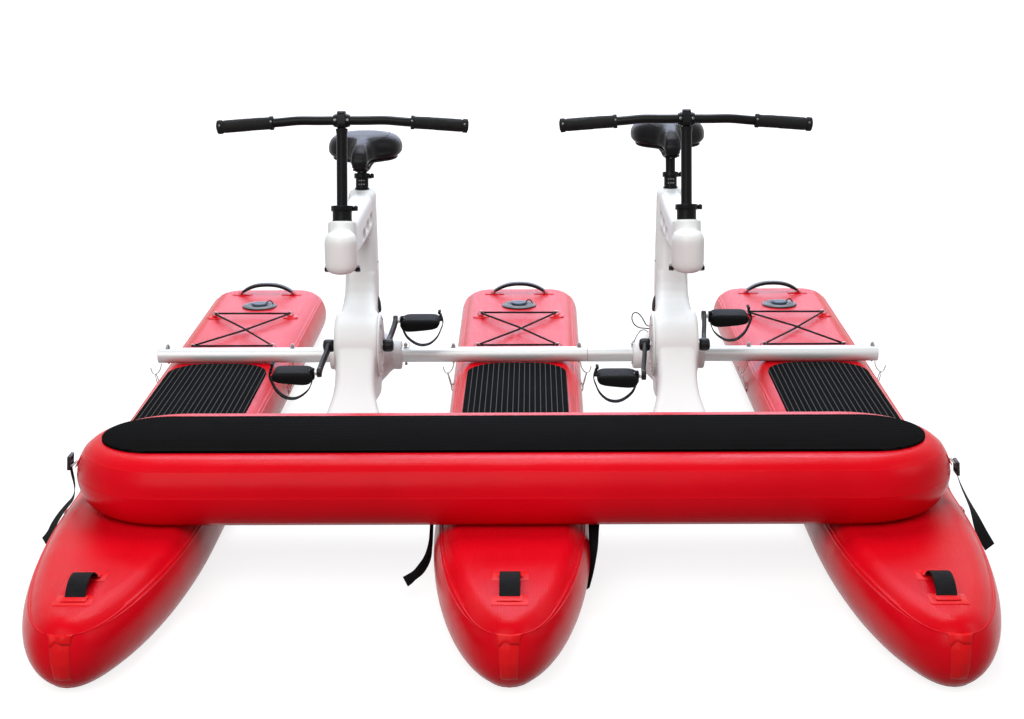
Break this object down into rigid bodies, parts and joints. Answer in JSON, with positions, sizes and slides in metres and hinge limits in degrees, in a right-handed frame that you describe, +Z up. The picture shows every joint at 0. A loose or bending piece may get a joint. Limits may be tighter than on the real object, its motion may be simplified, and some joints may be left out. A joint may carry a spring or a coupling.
{
  "type": "catamaran water bike",
  "caption": "Pedal catamaran: white drive frames with handlebars and saddles on an aluminium cross tube over inflatable floats, with a padded inflatable cross deck.",
  "frame": {"origin": "on the ground under the middle of the three floats, at the centre of the whole object's plan", "axes": "+X across the floats, +Y towards the sterns, +Z up; the bows and the riders face -Y"},
  "size_m": [2.0852, 2.9, 0.933],
  "materials": {
    "red_pvc": "satin coated PVC",
    "black_eva": "matt grooved foam",
    "white_shell": "satin moulded shell",
    "satin_aluminium": "satin anodised",
    "black_metal": "satin black",
    "black_rubber": "matt",
    "black_plastic": "satin",
    "black_webbing": "woven",
    "grey_plastic": "satin",
    "saddle_cover": "satin vinyl",
    "belt_rubber": "matt"
  },
  "bodies": {
    "craft": {"float_left": "red_pvc", "float_pad_left": "black_eva", "valve_left": "grey_plastic", "stern_handle_left": "black_rubber", "bow_handle_left": "black_webbing", "bungee_left": "black_rubber", "float_middle": "red_pvc", "float_pad_middle": "black_eva", "valve_middle": "grey_plastic", "stern_handle_middle": "black_rubber", "bow_handle_middle": "black_webbing", "bungee_middle": "black_rubber", "float_right": "red_pvc", "float_pad_right": "black_eva", "valve_right": "grey_plastic", "stern_handle_right": "black_rubber", "bow_handle_right": "black_webbing", "bungee_right": "black_rubber", "deck_float": "red_pvc", "deck_pad": "black_eva", "cross_tube_left": "satin_aluminium", "cross_tube_right": "satin_aluminium", "left_bike_frame": "white_shell", "left_bike_side_cover": "white_shell", "left_bike_seat_sleeve": "black_metal", "left_bike_drive_belt": "belt_rubber", "right_bike_frame": "white_shell", "right_bike_side_cover": "white_shell", "right_bike_seat_sleeve": "black_metal", "right_bike_drive_belt": "belt_rubber"},
    "left_steering": {"left_bike_steering_shaft": "black_metal"},
    "left_bar": {"left_bike_bar_post": "black_metal", "left_bike_handlebar": "black_metal"},
    "left_bar_lever": {"left_bike_bar_lever": "black_metal"},
    "left_seat": {"left_bike_seat_post": "black_metal", "left_bike_saddle": "saddle_cover"},
    "left_seat_lever": {"left_bike_seat_lever": "black_metal"},
    "left_cranks": {"left_bike_crank_inner": "black_metal", "left_bike_crank_outer": "black_metal"},
    "left_pedal_inner": {"left_bike_pedal_inner": "black_plastic"},
    "left_pedal_outer": {"left_bike_pedal_outer": "black_plastic"},
    "left_lower_pulley": {"left_bike_lower_pulley": "black_metal"},
    "left_leg": {"left_bike_drive_leg": "white_shell"},
    "left_propeller": {"left_bike_propeller": "grey_plastic"},
    "left_rudder": {"left_bike_rudder": "white_shell"},
    "right_steering": {"right_bike_steering_shaft": "black_metal"},
    "right_bar": {"right_bike_bar_post": "black_metal", "right_bike_handlebar": "black_metal"},
    "right_bar_lever": {"right_bike_bar_lever": "black_metal"},
    "right_seat": {"right_bike_seat_post": "black_metal", "right_bike_saddle": "saddle_cover"},
    "right_seat_lever": {"right_bike_seat_lever": "black_metal"},
    "right_cranks": {"right_bike_crank_inner": "black_metal", "right_bike_crank_outer": "black_metal"},
    "right_pedal_inner": {"right_bike_pedal_inner": "black_plastic"},
    "right_pedal_outer": {"right_bike_pedal_outer": "black_plastic"},
    "right_lower_pulley": {"right_bike_lower_pulley": "black_metal"},
    "right_leg": {"right_bike_drive_leg": "white_shell"},
    "right_propeller": {"right_bike_propeller": "grey_plastic"},
    "right_rudder": {"right_bike_rudder": "white_shell"}
  },
  "joints": [
    {"name": "left_steering_turn", "type": "hinge", "parent": "craft", "child": "left_steering", "pos_m": [-0.436, -0.084, 0.6648], "axis": [0, 0.2419, 0.9703], "range_deg": [-35, 35]},
    {"name": "left_bar_height", "type": "slide", "parent": "left_steering", "child": "left_bar", "axis": [0, 0.2419, 0.9703], "range_m": [-0.03, 0.06]},
    {"name": "left_bar_clamp", "type": "hinge", "parent": "left_steering", "child": "left_bar_lever", "pos_m": [-0.4017, -0.0759, 0.6973], "axis": [0, 0.2419, 0.9703], "range_deg": [-120, 0]},
    {"name": "left_seat_height", "type": "slide", "parent": "craft", "child": "left_seat", "axis": [0, 0.2723, 0.9622], "range_m": [0, 0.08]},
    {"name": "left_seat_clamp", "type": "hinge", "parent": "craft", "child": "left_seat_lever", "pos_m": [-0.4077, 0.47348, 0.69085], "axis": [0, 0.2723, 0.9622], "range_deg": [-120, 0]},
    {"name": "left_cranks_spin", "type": "hinge", "parent": "craft", "child": "left_cranks", "pos_m": [-0.436, 0.228, 0.2588], "axis": [1, 0, 0], "continuous": true},
    {"name": "left_pedal_inner_spin", "type": "hinge", "parent": "left_cranks", "child": "left_pedal_inner", "pos_m": [-0.436, 0.3758, 0.29428], "axis": [1, 0, 0], "continuous": true},
    {"name": "left_pedal_outer_spin", "type": "hinge", "parent": "left_cranks", "child": "left_pedal_outer", "pos_m": [-0.436, 0.0802, 0.22332], "axis": [1, 0, 0], "continuous": true},
    {"name": "left_lower_pulley_spin", "type": "hinge", "parent": "craft", "child": "left_lower_pulley", "pos_m": [-0.436, 0.033, 0.0908], "axis": [1, 0, 0], "continuous": true},
    {"name": "left_leg_swing", "type": "hinge", "parent": "craft", "child": "left_leg", "pos_m": [-0.436, 0.033, 0.0908], "axis": [1, 0, 0], "range_deg": [-90, 0]},
    {"name": "left_propeller_spin", "type": "hinge", "parent": "left_leg", "child": "left_propeller", "pos_m": [-0.436, 0.423, 0.0908], "axis": [0, 0, -1], "continuous": true},
    {"name": "left_rudder_turn", "type": "hinge", "parent": "left_leg", "child": "left_rudder", "pos_m": [-0.436, 0.423, 0.0908], "axis": [0, -1, 0], "range_deg": [-35, 35]},
    {"name": "right_steering_turn", "type": "hinge", "parent": "craft", "child": "right_steering", "pos_m": [0.436, -0.084, 0.6648], "axis": [0, 0.2419, 0.9703], "range_deg": [-35, 35]},
    {"name": "right_bar_height", "type": "slide", "parent": "right_steering", "child": "right_bar", "axis": [0, 0.2419, 0.9703], "range_m": [-0.03, 0.06]},
    {"name": "right_bar_clamp", "type": "hinge", "parent": "right_steering", "child": "right_bar_lever", "pos_m": [0.4703, -0.0759, 0.6973], "axis": [0, 0.2419, 0.9703], "range_deg": [-120, 0]},
    {"name": "right_seat_height", "type": "slide", "parent": "craft", "child": "right_seat", "axis": [0, 0.2723, 0.9622], "range_m": [-0.035, 0.045]},
    {"name": "right_seat_clamp", "type": "hinge", "parent": "craft", "child": "right_seat_lever", "pos_m": [0.4643, 0.47348, 0.69085], "axis": [0, 0.2723, 0.9622], "range_deg": [-120, 0]},
    {"name": "right_cranks_spin", "type": "hinge", "parent": "craft", "child": "right_cranks", "pos_m": [0.436, 0.228, 0.2588], "axis": [1, 0, 0], "continuous": true},
    {"name": "right_pedal_inner_spin", "type": "hinge", "parent": "right_cranks", "child": "right_pedal_inner", "pos_m": [0.436, 0.08344, 0.21183], "axis": [1, 0, 0], "continuous": true},
    {"name": "right_pedal_outer_spin", "type": "hinge", "parent": "right_cranks", "child": "right_pedal_outer", "pos_m": [0.436, 0.37256, 0.30577], "axis": [1, 0, 0], "continuous": true},
    {"name": "right_lower_pulley_spin", "type": "hinge", "parent": "craft", "child": "right_lower_pulley", "pos_m": [0.436, 0.033, 0.0908], "axis": [1, 0, 0], "continuous": true},
    {"name": "right_leg_swing", "type": "hinge", "parent": "craft", "child": "right_leg", "pos_m": [0.436, 0.033, 0.0908], "axis": [1, 0, 0], "range_deg": [-90, 0]},
    {"name": "right_propeller_spin", "type": "hinge", "parent": "right_leg", "child": "right_propeller", "pos_m": [0.436, 0.423, 0.0908], "axis": [0, 0, -1], "continuous": true},
    {"name": "right_rudder_turn", "type": "hinge", "parent": "right_leg", "child": "right_rudder", "pos_m": [0.436, 0.423, 0.0908], "axis": [0, -1, 0], "range_deg": [-35, 35]}
  ],
  "couplings": [
    {"joint": "left_lower_pulley_spin", "follows": "left_cranks_spin", "ratio": 3},
    {"joint": "left_propeller_spin", "follows": "left_cranks_spin", "ratio": 7.5},
    {"joint": "left_rudder_turn", "follows": "left_steering_turn", "ratio": -1},
    {"joint": "right_lower_pulley_spin", "follows": "right_cranks_spin", "ratio": 3},
    {"joint": "right_propeller_spin", "follows": "right_cranks_spin", "ratio": 7.5},
    {"joint": "right_rudder_turn", "follows": "right_steering_turn", "ratio": -1}
  ]
}
